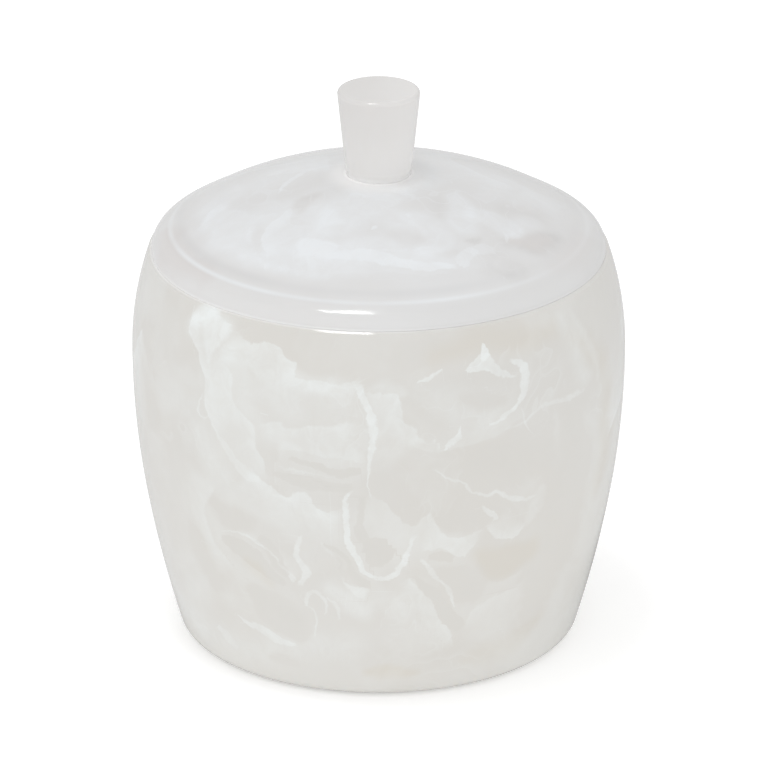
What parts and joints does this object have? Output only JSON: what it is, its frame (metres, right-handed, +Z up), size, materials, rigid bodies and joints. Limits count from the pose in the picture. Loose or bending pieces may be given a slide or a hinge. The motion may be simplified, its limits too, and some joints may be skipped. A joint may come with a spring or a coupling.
{
  "type": "lidded powder jar",
  "caption": "Barrel-shaped swirled resin powder jar with a domed lift-off lid, tapered knob and clear pads.",
  "frame": {"origin": "on the jar's axis, in the plane of the undersides of its pads, where it stands", "axes": "+Z up the jar's axis; the jar is round, so +X and +Y only place its pads, which stand between them"},
  "size_m": [0.108, 0.108, 0.1248],
  "materials": {
    "jar_resin": "polished cast resin, cloudy and translucent, swirled with white pigment",
    "lid_resin": "polished cast resin, cloudy and translucent, swirled with cool white pigment",
    "knob_resin": "polished cast resin, evenly cloudy, hardly swirled",
    "dowel_acrylic": "clear rod, satin",
    "pad_clear": "clear soft pad, satin"
  },
  "bodies": {
    "jar": {"jar_body": "jar_resin", "base_pads": "pad_clear"},
    "lid": {"lid": "lid_resin", "knob": "knob_resin", "knob_dowel": "dowel_acrylic"}
  },
  "joints": [
    {"name": "lid_lift", "type": "slide", "parent": "jar", "child": "lid", "axis": [0, 0, 1], "range_m": [0, 0.1]}
  ]
}
